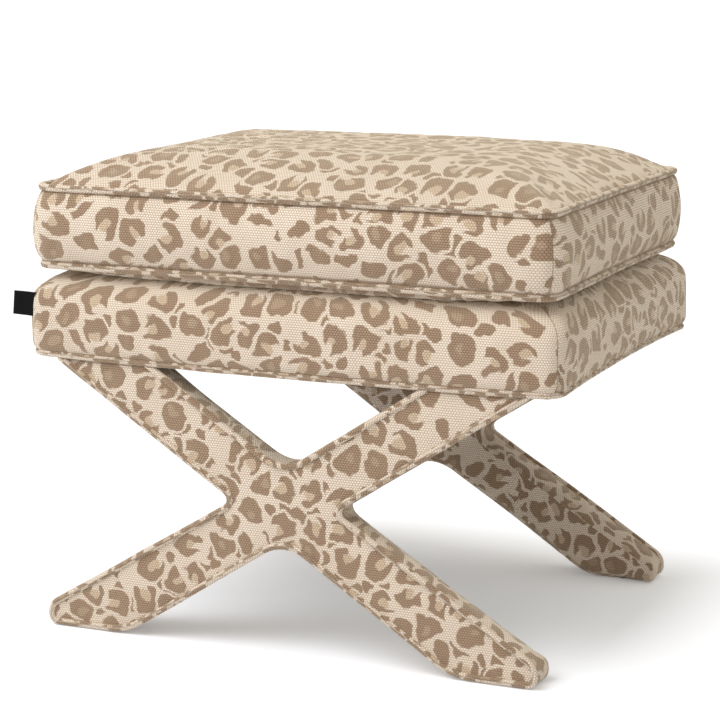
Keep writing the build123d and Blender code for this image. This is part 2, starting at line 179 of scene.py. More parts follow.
dress(strap_weave("strap_across", 0.0), "webbing", "long_webbing")
dress(strap_weave("strap_deep", pi / 2), "webbing", "cross_webbing")

# Seat base
# Foam glued over the frame under one tight cover of heavy woven cloth with a leopard print.
# The cover rolls over the shoulder, is darted at the four corners and is stapled under the rails.


def printed_cloth(name, bias=0.0):
    """Chunky woven cloth with a leopard print, laid out flat in metres on the cloth map."""
    yarn_run, yarn_rise = 0.0030, 0.0025
    swing, swing_scale, stepping = 0.016, 44.0, 0.3
    motif_pitch, motif_gap, motif_reach, motif_spread, motif_round = 0.0335, 0.07, 0.44, 0.10, 0.30
    heart_offset, heart_reach, mouth_width, mouth_flare = 0.09, 0.16, 0.09, 0.14
    full_spots_from, commas_from = 0.66, 0.84
    dot_pitch, dot_reach, dot_gap, lone_from = 0.0195, 0.36, 0.11, 0.53
    brown_edge, tan_edge, seam_shade_width = 26.0, 18.0, 0.0012
    plane, cell = {"noise_dimensions": "2D"}, {"voronoi_dimensions": "2D"}
    material, tone = new_material(name)
    flat = tone.node("UVMap", {}, {"uv_map": "cloth"})
    flat = tone.node("VectorRotate", {"Vector": flat, "Angle": bias}, {"rotation_type": "Z_AXIS"})
    u = tone.node("SeparateXYZ", {0: flat})
    v = u.beside(1)

    # Each raised yarn is a small pad in a brick pattern
    row = v / yarn_rise
    line = row.math("FLOOR")
    shift = 0.5 * line.math("FLOORED_MODULO", 2.0)
    course = u / yarn_run + shift
    step = course.math("FLOOR")
    pad = (1 - (2 * abs(course - step - 0.5)) ** 3.0) * (1 - (2 * abs(row - line - 0.5)) ** 3.0)

    # The print swings freely over the cloth, and its edges step a little from yarn to yarn
    stitch = tone.node("CombineXYZ", {0: (step + 0.5 - shift) * yarn_run, 1: (line + 0.5) * yarn_rise})
    weft = tone.node("Mix", {0: stepping, 4: flat, 5: stitch}, {"data_type": "VECTOR"}, 1)
    wander = flat.clouds(swing_scale, 2.0, plane).beside(1)
    centred = wander.vector("SUBTRACT", (0.5, 0.5, 0.5))
    swung = centred.vector("MULTIPLY_ADD", (swing, swing, 0.0), weft)

    # One motif in each cell, with an even gap round it
    cells = swung.scaled(1 / motif_pitch)
    scatter = {"Vector": cells, "Scale": 1.0, "Randomness": 0.7}
    motif = tone.node("TexVoronoi", scatter, cell)
    border = tone.node("TexVoronoi", scatter, {**cell, "feature": "DISTANCE_TO_EDGE"})
    chance = tone.node("SeparateColor", {0: motif.beside(1)})
    kind, size = chance.beside(1), chance.beside(2)
    local = cells.vector("SUBTRACT", motif.beside(2))
    spin = {"Vector": local, "Angle": chance * 2 * pi}
    x = tone.node("SeparateXYZ", {0: tone.node("VectorRotate", spin, {"rotation_type": "Z_AXIS"})})
    y = x.beside(1)
    reach = (0.85 * x * x + 1.2 * y * y).math("SQRT")
    rim = reach - motif_reach - motif_spread * size
    blot = (motif_gap - border).math("SMOOTH_MAX", rim, motif_round)

    # Open rings round a tan heart, full spots and commas, with dots in the wide gaps
    heart = ((x - heart_offset) * (x - heart_offset) + 1.3 * y * y).math("SQRT") - heart_reach
    mouth = (0.05 - x).math("MAXIMUM", abs(y + 0.05) - mouth_width - mouth_flare * x)
    hollow = heart.math("SMOOTH_MIN", mouth, 0.06)
    ring = blot.math("SMOOTH_MAX", 0 - hollow, 0.07)
    comma = blot.math("SMOOTH_MAX", y - 0.08 + 0.9 * x * x - 0.5 * x, 0.1)
    shape = ring + (kind > full_spots_from) * (blot - ring)
    shape = shape + (kind > commas_from) * (comma - shape)
    sprinkle = swung.scaled(1 / dot_pitch)
    dots = tone.node("TexVoronoi", {"Vector": sprinkle, "Scale": 1.0, "Randomness": 0.8}, cell)
    middle = dots.beside(2).scaled(dot_pitch / motif_pitch)
    lone = tone.node("TexVoronoi", {**scatter, "Vector": middle}, cell) > lone_from
    dots = (dots - dot_reach).math("SMOOTH_MAX", dot_gap - blot, 0.1) + (1 - lone)
    brown = (0.5 - shape.math("MINIMUM", dots) * brown_edge).limited()
    tan_spot = (0.5 - heart * tan_edge).limited() * (kind < commas_from)
    brown = brown * (1 - 0.35 * tan_spot * (kind > full_spots_from))

    cloth = tan_spot.between(
        pad.between(colour(188, 164, 139), colour(240, 227, 213)),
        pad.between(colour(174, 147, 119), colour(212, 191, 166)),
    )
    cloth = brown.between(cloth, pad.between(colour(118, 93, 73), colour(170, 143, 119)))
    patches = flat.clouds(14.0, 3.0, plane)
    cloth = (0.3 * (patches - 0.35)).limited().between(cloth, colour(150, 122, 94))
    # A thin dark line is painted along each seam: painted shade of the crease where the cloth is drawn in.
    seam = tone.node("Attribute", {}, {"attribute_name": "seam"}, 2)
    cloth = (0.8 - seam / seam_shade_width).limited().between(cloth, colour(132, 108, 86))

    fuzz = flat.clouds(1500.0, 2.0, plane)
    surface(tone, {
        "Base Color": cloth,
        "Roughness": 0.95 - 0.15 * pad,
        "Sheen Weight": 0.9,
        "Sheen Roughness": 0.45,
        "Sheen Tint": colour(242, 230, 207),
        "Specular IOR Level": 0.25,
    }, bump=(0.7, 0.0009, pad + 0.35 * fuzz))
    return material


cover_cloth = printed_cloth("leopard_cover_cloth")


def rounded_path(corners, spacing, plan=None):
    """A closed run of points along straight sides and round corners, with each corner's middle.

    Corners are (point, radius), with points as complex numbers, in order round the outline.
    The plan, how many steps each corner and side has, can be handed on to a like outline.
    """
    arcs, counts, run, middles = [], [], [], []
    for index, (corner, radius) in enumerate(corners):
        into = corners[index - 1][0] - corner
        out = corners[(index + 1) % len(corners)][0] - corner
        into, out = into / abs(into), out / abs(out)
        half = abs(phase(out / into)) / 2
        start, end = corner + into * radius / tan(half), corner + out * radius / tan(half)
        centre = corner + (into + out) / abs(into + out) * radius / sin(half)
        sweep = phase((end - centre) / (start - centre))
        steps = plan[index][0] if plan else 2 * max(2, round(radius * abs(sweep) / spacing / 2))
        arcs.append([centre + (start - centre) * exp(1j * sweep * k / steps) for k in range(steps + 1)])
    for index, arc in enumerate(arcs):
        end, start = arc[-1], arcs[(index + 1) % len(arcs)][0]
        steps = plan[index][1] if plan else max(1, round(abs(start - end) / spacing))
        middles.append(len(run) + len(arc) // 2)
        counts.append((len(arc) - 1, steps))
        run += arc + [end + (start - end) * k / steps for k in range(1, steps)]
    return np.array(run), middles, counts


def nearest_on(points, outline):
    """The nearest place to each point on a closed outline."""
    nearest = np.full(len(points), outline[0])
    for start, side in zip(outline, np.roll(outline, -1) - outline):
        along = np.clip(((points - start) * np.conj(side)).real / abs(side) ** 2, 0, 1)
        place = start + along * side
        nearest = np.where(abs(points - place) < abs(points - nearest), place, nearest)
    return nearest


def edge_distance(points, outline):
    return abs(points - nearest_on(points, outline))


def filled(outline, spacing):
    """An outline filled with even triangles: its points, the outline's first, and its faces."""
    low, high = outline.real.min() + 1j * outline.imag.min(), outline.real.max() + 1j * outline.imag.max()
    rows = np.arange(low.imag, high.imag, spacing * 0.866)
    grid = np.concatenate([
        np.arange(low.real + spacing * (0.5 if k % 2 else 0.25), high.real, spacing) + 1j * z
        for k, z in enumerate(rows)
    ])
    crossings = np.zeros(len(grid), int)
    for a, b in zip(outline, np.roll(outline, -1)):
        spans = (a.imag > grid.imag) != (b.imag > grid.imag)
        rise = b.imag - a.imag or 1.0
        crossings += spans & (grid.real < a.real + (grid.imag - a.imag) / rise * (b.real - a.real))
    inside = grid[crossings % 2 == 1]
    inside = inside[edge_distance(inside, outline) > 0.55 * spacing]
    points = np.concatenate([outline, inside])
    flat = [Vector((p.real, p.imag)) for p in points]
    made = delaunay_2d_cdt(flat, [], [list(range(len(outline)))], 1, 1e-7)
    kept = [origin[0] for origin in made[3]]
    return points, [[kept[k] for k in face] for face in made[2]]


def added(name, data):
    """Put a mesh, a lamp or a camera in the scene under its name."""
    made = bpy.data.objects.new(name, data)
    bpy.context.scene.collection.objects.link(made)
    return made


def meshed(name, points, edges=(), faces=()):
    """Put a mesh of points, edges and faces in the scene."""
    mesh = bpy.data.meshes.new(name)
    mesh.from_pydata(points, edges, faces)
    return added(name, mesh)


def sewn_mesh(name, points, panels):
    """A piece sewn from panels of (faces, flat place of each face's corners in metres)."""
    faces = [face for panel_faces, _ in panels for face in panel_faces]
    piece = meshed(name, [tuple(p) for p in points], [], faces)
    places = np.concatenate([np.concatenate(flat) for _, flat in panels])
    piece.data.uv_layers.new(name="cloth").data.foreach_set("uv", places.astype(np.float32).ravel())
    piece.data.polygons.foreach_set("use_smooth", [True] * len(faces))
    return piece


def mesh_points(piece):
    points = np.empty(len(piece.data.vertices) * 3, np.float32)
    piece.data.vertices.foreach_get("co", points)
    return points.reshape(-1, 3).astype(float)


def set_points(piece, points):
    piece.data.vertices.foreach_set("co", points.astype(np.float32).ravel())
    piece.data.update()


def seam_distance(piece, distance):
    """Keep how far each point lies from its nearest seam, in metres, with the mesh."""
    piece.data.attributes.new("seam", "FLOAT", "POINT").data.foreach_set("value", distance.astype(np.float32))


def seams_and_normals(piece):
    """How far each point lies from its nearest seam, and which way the cloth faces there."""
    count = len(piece.data.vertices)
    distance, normals = np.empty(count, np.float32), np.empty(count * 3, np.float32)
    piece.data.attributes["seam"].data.foreach_get("value", distance)
    piece.data.vertex_normals.foreach_get("vector", normals)
    return distance, normals.reshape(-1, 3)


def corner_seam_gap(rings_at, count, marks):
    """How far points of rings, one above the other, lie from the nearest seam up the rings at the marks."""
    rings_at = rings_at.reshape(-1, count, 3)
    gaps = [np.linalg.norm(rings_at - rings_at[:, mark:mark + 1], axis=2) for mark in marks]
    return np.minimum.reduce(gaps).ravel()


def stuffed(piece, held, pressure, cap):
    """Fill a sewn cover by cloth simulation: held points stay, and none moves further than cap."""
    before = mesh_points(piece)
    seams = piece.vertex_groups.new(name="held")
    seams.add([int(k) for k in np.flatnonzero(held)], 1.0, "REPLACE")
    filling = piece.modifiers.new("filling", "CLOTH")
    filling.settings.quality = 5
    filling.settings.mass = 0.3
    filling.settings.use_pressure = True
    filling.settings.uniform_pressure_force = pressure
    filling.settings.effector_weights.gravity = 0.0
    filling.settings.vertex_group_mass = "held"
    filling.collision_settings.use_collision = False
    last_frame = 20
    filling.point_cache.frame_end = last_frame
    for step in range(1, last_frame + 1):
        bpy.context.scene.frame_set(step)
    blown = piece.evaluated_get(bpy.context.evaluated_depsgraph_get())
    move = mesh_points(blown) - before
    length = np.linalg.norm(move, axis=1)
    set_points(piece, before + move * np.minimum(1.0, cap / np.maximum(length, 1e-9))[:, None])
    piece.modifiers.remove(filling)
    piece.vertex_groups.clear()
    bpy.context.scene.frame_set(1)


def plain_mesh(piece):
    """Make what a piece's modifiers give its own mesh, and take the modifiers off."""
    made = bpy.data.meshes.new_from_object(piece.evaluated_get(bpy.context.evaluated_depsgraph_get()))
    piece.modifiers.clear()
    piece.data = made


def refined(piece):
    """Round a piece off with one level of subdivision."""
    rounding = piece.modifiers.new("rounding", "SUBSURF")
    rounding.levels = rounding.render_levels = 1
    plain_mesh(piece)


def puckered(piece, outline, axes, reach, height, wave):
    """Ruffle the cloth beside its seams in folds across them, less and less over reach.

    The outline of the seams lies in the plane of the two axes.
    """
    points, (distance, normals) = mesh_points(piece), seams_and_normals(piece)
    near = np.exp(-((distance - reach / 2) / (reach / 2)) ** 2)
    flat, level = points[:, axes[0]] + 1j * points[:, axes[1]], points[:, 3 - sum(axes)]
    seam = 0.75 * nearest_on(flat, outline) + 0.25 * flat
    folds = zip(seam.real, seam.imag, 0.35 * level)
    ruffle = np.array([noise.noise(Vector(fold) / wave) for fold in folds])
    roll = np.array([noise.noise(Vector(p) / (6 * wave)) for p in points])
    lift = height * (near * ruffle + 0.8 * roll * np.minimum(1.0, distance / reach))
    set_points(piece, points + normals * lift[:, None])


def box_corners(half_x, half_y, radius):
    """The corners of a rounded rectangle, from the front left round by the front right."""
    places = (-half_x - 1j * half_y, half_x - 1j * half_y, half_x + 1j * half_y, -half_x + 1j * half_y)
    return [(place, radius) for place in places]


def ring_faces(count, low, high):
    """Faces that join two rings of points, given the first number of each, facing out."""
    return [[low + k, low + (k + 1) % count, high + (k + 1) % count, high + k] for k in range(count)]


def strip_places(count, marks, length, low, high):
    """Flat places of a ring of faces, cut into strips at the marks, each strip on its own cloth."""
    strip_step, places = 0.31, []
    for k in range(count):
        away = strip_step * (sum(1 for mark in marks if mark <= k) % len(marks))
        places.append([
            (length[k] + away, low), (length[k + 1] + away, low),
            (length[k + 1] + away, high), (length[k] + away, high),
        ])
    return places


def run_length(path):
    """Length along a closed path at each point, and back at the first."""
    return np.concatenate([[0.0], np.cumsum(abs(np.roll(path, -1) - path))])


def with_panel(points, outline, first, height, spacing):
    """Close a ring of points, whose first number is given, by a level panel: all points and its faces."""
    flat, faces = filled(outline, spacing)
    count, start = len(outline), len(points)
    inner = [(p.real, p.imag, height) for p in flat[count:]]
    return points + inner, [[first + k if k < count else start + k - count for k in face] for face in faces]


def plan_places(points, faces, away):
    """Flat places of a panel seen from above, moved away on the cloth."""
    return [[(points[k][0] + away, points[k][1]) for k in face] for face in faces]


def creased(piece, depth, width):
    """Draw the cloth in along its seams."""
    points, (distance, normals) = mesh_points(piece), seams_and_normals(piece)
    draw = depth * np.exp(-((distance / width) ** 2))
    set_points(piece, points - normals * draw[:, None])


cover_low, cover_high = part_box("base_cover")
base_bottom, deck = cover_low.z, cover_high.z
draw_in, hem_rise, belly_rise, fullness = 0.006, 0.002, 0.015, 0.003
shoulder_run, shoulder_drop = 0.048, 0.034
base_corner, corner_growth, corner_lift, side_arch = 0.017, 0.6, 0.0025, 0.005
base_spacing, deck_spacing, hem_spacing = 0.007, 0.012, 0.02
deck_cut, hem_cut, seam_reach = 1.9, 2.7, 0.03


def hem_lift(points):
    """How far the hem is drawn up at places along it: a little at the front corners, more along the sides."""
    across, deep = points.real / cover_high.x, points.imag / cover_high.y
    return corner_lift * across**2 * (0.6 - 0.4 * deep) + side_arch * across**8 * np.maximum(0, 1 - deep**2)


base_rows = [(draw_in, base_bottom)]
for turn in range(0, 91, 18):
    swell = radians(turn)
    base_rows.append((draw_in * (1 - sin(swell)), base_bottom + hem_rise + belly_rise * (1 - cos(swell))))
for turn in range(0, 91, 15):
    roll = radians(turn)
    base_rows.append((shoulder_run * (1 - cos(roll)), deck - shoulder_drop * (1 - sin(roll))))

base_points, base_panels, base_plan, climb = [], [], None, 0.0
for row, (inset, height) in enumerate(base_rows):
    out = fullness - inset
    corners = box_corners(cover_high.x + out, cover_high.y + out, base_corner + corner_growth * inset)
    ring, base_marks, base_plan = rounded_path(corners, base_spacing, base_plan)
    count = len(ring)
    if row:
        slant = abs(complex(inset - base_rows[row - 1][0], height - base_rows[row - 1][1]))
        faces = ring_faces(count, (row - 1) * count, row * count)
        places = strip_places(count, base_marks, base_lengths, climb, climb + slant)
        base_panels.append((faces, places))
        climb += slant
    rises = hem_lift(ring) * ((deck - height) / (deck - base_bottom)) ** 2
    base_points += [(p.real, p.imag, height + rise) for p, rise in zip(ring, rises)]
    if row == 0:
        hem_ring, base_lengths = ring, run_length(ring)
side_count = len(base_points)
base_points, deck_faces = with_panel(base_points, ring, side_count - count, deck, deck_spacing)
base_points, hem_faces = with_panel(base_points, hem_ring, 0, base_bottom, hem_spacing)
hem_faces = [face[::-1] for face in hem_faces]
base_panels.append((deck_faces, plan_places(base_points, deck_faces, deck_cut)))
base_panels.append((hem_faces, plan_places(base_points, hem_faces, hem_cut)))
seat_base = sewn_mesh("seat_base", base_points, base_panels)

base_at = np.array(base_points)
stitch_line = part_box("base_welt")[1].z
dart_gap = np.full(len(base_at), seam_reach)
above_stitches = np.maximum(0, base_at[:side_count, 2] - stitch_line)
dart_gap[:side_count] = np.minimum(above_stitches, corner_seam_gap(base_at[:side_count], count, base_marks))
seam_distance(seat_base, np.minimum(dart_gap, seam_reach))
numbers = np.arange(len(base_at))
held = (numbers < count) | (numbers >= side_count - count)
stuffed(seat_base, held, pressure=3.0, cap=0.004)
refined(seat_base)
creased(seat_base, depth=0.0008, width=0.003)
puckered(seat_base, hem_ring, (0, 1), reach=0.03, height=0.0014, wave=0.014)
seat_base.data.materials.append(cover_cloth)
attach(seat_base, "base")
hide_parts("base_padding", "base_cover")

# Base piping
# A cord in a bias-cut strip of the same cloth, sewn round the lower edge of the base.


def socket_of(tree, name):
    return next(item.identifier for item in tree.interface.items_tree if item.name == name)


def with_nodes(piece, tree, **values):
    """Let a tree of geometry nodes, with its inputs set, make a piece's mesh."""
    making = piece.modifiers.new(tree.name, "NODES")
    making.node_group = tree
    for name, value in values.items():
        making[socket_of(tree, name)] = value
    plain_mesh(piece)


def node_tree(name, result, **inputs):
    """A tree of geometry nodes with inputs of these kinds, what they give, and its maker of nodes."""
    tree = bpy.data.node_groups.new(name, "GeometryNodeTree")
    for label, kind in inputs.items():
        tree.interface.new_socket(label, in_out="INPUT", socket_type="NodeSocket" + kind)
    tree.interface.new_socket(result, in_out="OUTPUT", socket_type="NodeSocketGeometry")

    def node(kind, links, **settings):
        made = tree.nodes.new("GeometryNode" + kind)
        for label, value in settings.items():
            setattr(made, label, value)
        for label, value in links.items():
            if isinstance(value, bpy.types.NodeSocket):
                tree.links.new(value, made.inputs[label])
            else:
                made.inputs[label].default_value = value
        return made.outputs

    return tree, tree.nodes.new("NodeGroupInput").outputs, node


def piping_tree():
    """Geometry nodes that cover a path in cloth: a round cord with its length and girth as cloth map."""
    sockets = {"Path": "Geometry", "Radius": "Float", "Sides": "Int", "Cloth": "Material"}
    tree, given, node = node_tree("piping", "Piping", **sockets)

    def marked(curve, name):
        length = node("SplineParameter", {})["Length"]
        return node("StoreNamedAttribute", {"Geometry": curve, "Name": name, "Value": length})[0]

    path = node("MeshToCurve", {"Mesh": given["Path"]})[0]
    girth = node("CurvePrimitiveCircle", {"Resolution": given["Sides"], "Radius": given["Radius"]})[0]
    strips = {"Curve": marked(path, "along"), "Profile Curve": marked(girth, "around"), "Fill Caps": True}
    cord = node("CurveToMesh", strips)[0]
    place = tree.nodes.new("ShaderNodeCombineXYZ")
    for axis, name in enumerate(("along", "around")):
        tree.links.new(node("InputNamedAttribute", {"Name": name})[0], place.inputs[axis])
    mapping = {"Geometry": cord, "Name": "cloth", "Value": place.outputs[0]}
    mapped = node("StoreNamedAttribute", mapping, data_type="FLOAT2", domain="CORNER")[0]
    # Every point of the cord counts as far from a seam, so the painted seam shade stays off it.
    apart = node("StoreNamedAttribute", {"Geometry": mapped, "Name": "seam", "Value": 1.0})[0]
    smooth = node("SetShadeSmooth", {"Geometry": apart})[0]
    whole = node("RealizeInstances", {"Geometry": smooth})[0]
    covered = node("SetMaterial", {"Geometry": whole, "Material": given["Cloth"]})[0]
    tree.links.new(covered, tree.nodes.new("NodeGroupOutput").inputs[0])
    return tree


piping_nodes = piping_tree()
piping_cloth = printed_cloth("leopard_piping_cloth", bias=radians(45))
sway_seed = 1
noise.seed_set(sway_seed)


def piped(name, paths, radius, sway=0.0004):
    """Covered cord along paths of (points, whether closed), a little uneven as sewn piping is."""
    cord_sides, sway_length, points, edges = 14, 0.05, [], []
    for path, closed in paths:
        start, count = len(points), len(path)
        for x, y, z in path:
            drift = noise.noise_vector(Vector((x, y, z)) / sway_length)
            points.append((x + sway * drift.x, y + sway * drift.y, z + sway * drift.z))
        edges += [(start + k, start + (k + 1) % count) for k in range(count if closed else count - 1)]
    piece = meshed(name, points, edges)
    with_nodes(piece, piping_nodes, Radius=radius, Sides=cord_sides, Cloth=piping_cloth)
    return piece


def started_at_back(ring):
    """A ring of points that starts in the middle of the back, where its joint is out of sight."""
    first = int(np.argmin(abs(ring - 1j * ring.imag.max())))
    return np.roll(ring, -first)


welt_low, welt_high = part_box("base_welt")
welt_spacing, welt_ease, welt_fullness = 0.006, 0.001, 0.0002
base_welt_radius = (welt_high.z - welt_low.z) / 2 + welt_fullness
welt_reach = fullness - draw_in + base_welt_radius / 2
welt_corners = box_corners(cover_high.x + welt_reach, cover_high.y + welt_reach, base_corner + welt_ease)
welt_ring = started_at_back(rounded_path(welt_corners, welt_spacing)[0])
welt_height = (welt_low.z + welt_high.z) / 2
welt_run = [(p.real, p.imag, welt_height + rise) for p, rise in zip(welt_ring, hem_lift(welt_ring))]
base_piping = piped("base_piping", [(welt_run, True)], base_welt_radius)
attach(base_piping, "base")
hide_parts("base_welt")

# Side tab
# A bare black satin tab, folded double and caught in the front left dart of the base.

tab_reach, tab_tuck, tab_height, tab_thickness = 0.019, 0.006, 0.026, 0.0011
tab_curl, tab_lean, tab_selvedge = 0.0035, 0.004, 0.0022
tab_rise, tab_inset_x, tab_inset_y, tab_tilt = 0.011, 0.008, 0.003, 0.12
tab_middle = (base_bottom + deck) / 2 + tab_rise
tab_root_x, tab_root_y = cover_low.x + tab_inset_x, cover_low.y + tab_inset_y

black_satin, tone = new_material("black_satin_tab")
place = tone.node("UVMap", {}, {"uv_map": "cloth"})
across = tone.node("SeparateXYZ", {0: place})
rise = across.beside(1)
warp = 0.5 + 0.5 * (rise * (2 * pi / 0.0006)).math("SINE")
weft = 0.5 + 0.5 * (across * (2 * pi / 0.0008)).math("SINE")
selvedge = (abs(rise - tab_height / 2) > tab_height / 2 - tab_selvedge) * 1.0
satin = (0.6 * warp + 0.4 * weft).limited()
surface(tone, {
    "Base Color": satin.between(colour(5, 5, 6), colour(16, 16, 17)),
    "Roughness": 0.6 + 0.25 * satin,
    "Specular IOR Level": 0.15,
}, bump=(0.4, 0.0003, satin + 0.8 * selvedge))

tab_columns, tab_rows = 14, 9
tab_points, tab_places = [], []
for column in range(2 * tab_columns + 1):
    share = 1 - abs(column / tab_columns - 1)
    layer = 1 if column < tab_columns else -1 if column > tab_columns else 0
    for row in range(tab_rows + 1):
        height = row / tab_rows
        curl = tab_curl * share**2 * (0.6 + 0.4 * height)
        apart = layer * tab_thickness / 2 * (1 - share**6)
        tab_points.append((
            tab_root_x - (tab_reach + tab_tuck) * share + tab_tilt * tab_height * (height - 0.5),
            tab_root_y - tab_lean * share - curl + apart,
            tab_middle + tab_height * (height - 0.5) + tab_tilt * tab_reach * (share - 0.5),
        ))
        tab_places.append((column * tab_reach / tab_columns, row * tab_height / tab_rows))


def grid_faces(columns, rows):
    """Faces of a sheet whose points run up one column after the other."""
    firsts = [column * (rows + 1) + row for column in range(columns) for row in range(rows)]
    return [[first, first + 1, first + rows + 2, first + rows + 1] for first in firsts]


tab_faces = grid_faces(2 * tab_columns, tab_rows)
tab_cloth = [[tab_places[k] for k in face] for face in tab_faces]
side_tab = sewn_mesh("side_tab", tab_points, [(tab_faces, tab_cloth)])
side_tab.data.materials.append(black_satin)
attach(side_tab, "base")

# Dust cover
# Thin bonded cloth drawn over the underside of the rails and stapled every few centimetres.

dust_low, dust_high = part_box("dust_cover")
dust_width, dust_length = dust_high.x - dust_low.x, dust_high.y - dust_low.y
dust_columns, dust_rows = 56, 42
dust_gap, dust_sag, dust_ripple, dust_margin = 0.0003, 0.0018, 0.0006, 0.12

dust_cloth, tone = new_material("black_dust_cloth")
place = tone.node("TexCoord", {}, output="Object")
lattice = place.scaled(900.0)
pressed = {"Vector": lattice, "Scale": 1.0, "Randomness": 0.15}
pressed = tone.node("TexVoronoi", pressed, {"voronoi_dimensions": "2D"})
fibre = place.clouds(700.0, 4.0)
felt = (0.7 * pressed + 0.5 * fibre).limited()
surface(tone, {
    "Base Color": felt.between(colour(26, 25, 24), colour(52, 50, 47)),
    "Roughness": 0.85 + 0.1 * fibre,
}, bump=(0.35, 0.0004, felt))

dust_points = []
for column in range(dust_columns + 1):
    for row in range(dust_rows + 1):
        a, b = column / dust_columns, row / dust_rows
        slack = min(1.0, min(a, 1 - a, b, 1 - b) / dust_margin) ** 2
        x, y = dust_low.x + dust_width * a, dust_low.y + dust_length * b
        ripple = dust_ripple * noise.noise(Vector((x / 0.06, y / 0.03, 0.0)))
        dust_points.append((x, y, dust_low.z + dust_gap - slack * (dust_sag + ripple)))
dust_faces = grid_faces(dust_columns, dust_rows)
dust_places = plan_places(dust_points, dust_faces, 0.0)
dust_sheet = sewn_mesh("dust_sheet", dust_points, [(dust_faces, dust_places)])
dust_sheet.data.materials.append(dust_cloth)
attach(dust_sheet, "base")
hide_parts("dust_cover")


def metal(name, dark, light, rough):
    """Plated metal, a little mottled and worn."""
    material, tone = new_material(name)
    place = tone.node("TexCoord", {}, output="Object")
    spangle = place.clouds(240.0, 5.0)
    scratch = place.vector("MULTIPLY", (3000.0, 300.0, 300.0)).clouds(1.0, 2.0)
    surface(tone, {
        "Base Color": spangle.between(dark, light),
        "Metallic": 1.0,
        "Roughness": rough + 0.2 * spangle,
    }, bump=(0.1, 0.0002, scratch))
    return material


def staple_tree():
    """Geometry nodes that set flat staples along a path at an even spacing."""
    sockets = {"Path": "Geometry", "Spacing": "Float", "Crown": "Vector", "Wire": "Material"}
    tree, given, node = node_tree("staples", "Staples", **sockets)
    path = node("MeshToCurve", {"Mesh": given["Path"]})[0]
    spaced = node("CurveToPoints", {"Curve": path, "Length": given["Spacing"]}, mode="LENGTH")
    crown = node("MeshCube", {"Size": given["Crown"]})["Mesh"]
    crowns = {"Points": spaced["Points"], "Instance": crown, "Rotation": spaced["Rotation"]}
    placed = node("InstanceOnPoints", crowns)[0]
    whole = node("RealizeInstances", {"Geometry": placed})[0]
    covered = node("SetMaterial", {"Geometry": whole, "Material": given["Wire"]})[0]
    tree.links.new(covered, tree.nodes.new("NodeGroupOutput").inputs[0])
    return tree


staple_inset, staple_sink, staple_spacing, staple_crown = 0.006, 0.0002, 0.034, (0.0006, 0.0006, 0.010)
staple_x, staple_y = dust_high.x - staple_inset, dust_high.y - staple_inset


def level_corners(half_x, half_y, height):
    """The four corners of a level rectangle about the upright axis, in order round it."""
    return [(x * half_x, y * half_y, height) for x, y in ((-1, -1), (1, -1), (1, 1), (-1, 1))]


staple_corners = level_corners(staple_x, staple_y, dust_low.z - staple_sink)
dust_staples = meshed("dust_staples", staple_corners, [(0, 1), (1, 2), (2, 3), (3, 0)])
staple_nodes = staple_tree()
staple_wire = metal("staple_wire", colour(120, 120, 122), colour(176, 176, 178), 0.3)
with_nodes(dust_staples, staple_nodes, Spacing=staple_spacing, Crown=staple_crown, Wire=staple_wire)
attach(dust_staples, "base")

# X frames
# Two boards halved across each other in a thin foam wrap, covered by a face panel front and back
# and an edge band round the outline. The fabric runs right down over the feet.

for board, lean in (("rising", radians(33)), ("falling", radians(-33))):
    grain = timber(f"{board}_board_timber", (0, lean, 0))
    dress(grain, "frame_wood", f"front_{board}_leg", f"back_{board}_leg")

band_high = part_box("front_leg_edge_band")[1]
foot_spread, arm_spread, leg_width, toe_height = 0.250, 0.209, 0.0580, 0.0185
crotch_radius, notch_radius, heel_radius, sole_radius, toe_radius = 0.044, 0.011, 0.070, 0.0075, 0.015
leg_welt_radius, arm_radius, leg_spacing, leg_face_spacing = 0.0036, 0.001, 0.006, 0.0065
band_rows, edge_rows, edge_radius, edge_fade, sole_edge = 5, 4, 0.0058, 0.03, 0.35
arm_overlap, sole_gap, toe_fullness = 0.003, 0.0006, 0.003
leg_top, leg_sole = band_high.z + arm_overlap, leg_welt_radius + sole_gap
foot_reach = band_high.x + toe_fullness
toe_trim, sole_drop, sole_drop_run, sole_low = 0.005, 0.0032, 0.006, 0.0005
leg_slope = band_high.z / (foot_spread + arm_spread)
crossing = foot_spread * leg_slope
half_rise = leg_width / 2 * (1 + leg_slope**2) ** 0.5
heel_reach = (crossing - half_rise - leg_sole) / leg_slope
arm_inner, arm_outer = [(leg_top - crossing + side * half_rise) / leg_slope for side in (-1, 1)]

right_side = [
    (heel_reach + 1j * leg_sole, heel_radius),
    (foot_reach + 1j * leg_sole, sole_radius),
    (foot_reach + 1j * (leg_sole + toe_height), toe_radius),
    (half_rise / leg_slope + 1j * crossing, notch_radius),
    (arm_outer + 1j * leg_top, arm_radius),
    (arm_inner + 1j * leg_top, arm_radius),
]
left_side = [(complex(-corner.real, corner.imag), radius) for corner, radius in right_side[::-1]]
leg_corners = [(1j * (crossing - half_rise), crotch_radius), *right_side]
leg_corners += [(1j * (crossing + half_rise), crotch_radius), *left_side]
leg_path, leg_marks, _ = rounded_path(leg_corners, leg_spacing)
leg_count = len(leg_path)
toe_share = np.clip((leg_path.real - heel_reach) / (foot_reach - heel_reach), 0, 1)
toe_share = toe_share * (leg_path.imag < crossing)
sole_share = np.clip(1 - (leg_path.imag - leg_sole) / sole_radius, 0, 1)
leg_path = leg_path - toe_trim * toe_share
leg_lengths = run_length(leg_path)
ahead = np.roll(leg_path, -1) - np.roll(leg_path, 1)
inward = 1j * ahead / abs(ahead) * np.clip((leg_top - leg_path.imag) / edge_fade, 0, 1)
inward[leg_path.imag < leg_sole + 0.001] *= sole_edge


